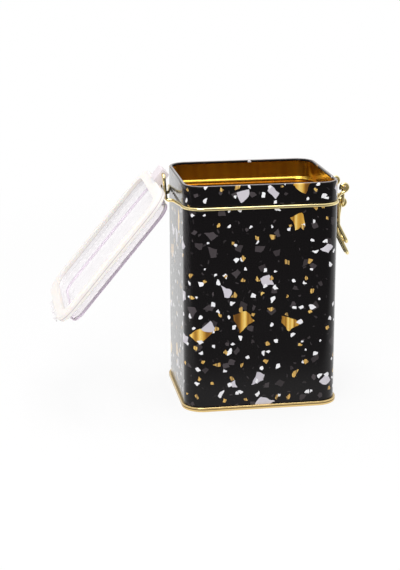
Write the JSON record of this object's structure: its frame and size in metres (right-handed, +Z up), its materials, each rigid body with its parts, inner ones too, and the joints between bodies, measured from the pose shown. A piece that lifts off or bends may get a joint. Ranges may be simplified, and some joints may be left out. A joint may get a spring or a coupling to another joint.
{
  "type": "storage tin",
  "caption": "Tall rounded-rectangle tin canister with a hinged clear sealing lid that hangs open and a wire lever clasp that hooks over the lid's lip.",
  "frame": {"origin": "centre of the base, on the surface that the tin stands on", "axes": "+Z up, +X from the hinge side towards the clasp side, +Y towards the back"},
  "size_m": [0.2012, 0.0902, 0.1548],
  "materials": {
    "printed_tinplate": "semi-gloss lacquer with a terrazzo print",
    "gold_tinplate": "gold lacquer",
    "gold_wire": "bright plated wire",
    "clear_plastic": "clear gloss",
    "cream_silicone": "matte translucent"
  },
  "bodies": {
    "tin": {"tin_body": "printed_tinplate", "tin_base": "gold_tinplate", "neck_wire": "gold_wire"},
    "lid": {"lid_cover": "clear_plastic", "lid_gasket": "cream_silicone"},
    "lever": {"clasp_lever": "gold_wire"},
    "bail": {"clasp_bail": "gold_wire"}
  },
  "joints": [
    {"name": "lid_hinge", "type": "hinge", "parent": "tin", "child": "lid", "pos_m": [-0.0596, 0, 0.15146], "axis": [0, -1, 0], "range_deg": [-230, 0]},
    {"name": "lever_swing", "type": "hinge", "parent": "tin", "child": "lever", "pos_m": [0.06, 0, 0.1395], "axis": [0, -1, 0], "range_deg": [0, 155]},
    {"name": "bail_swing", "type": "hinge", "parent": "lever", "child": "bail", "pos_m": [0.06, 0, 0.1284], "axis": [0, -1, 0], "range_deg": [0, 182]}
  ]
}
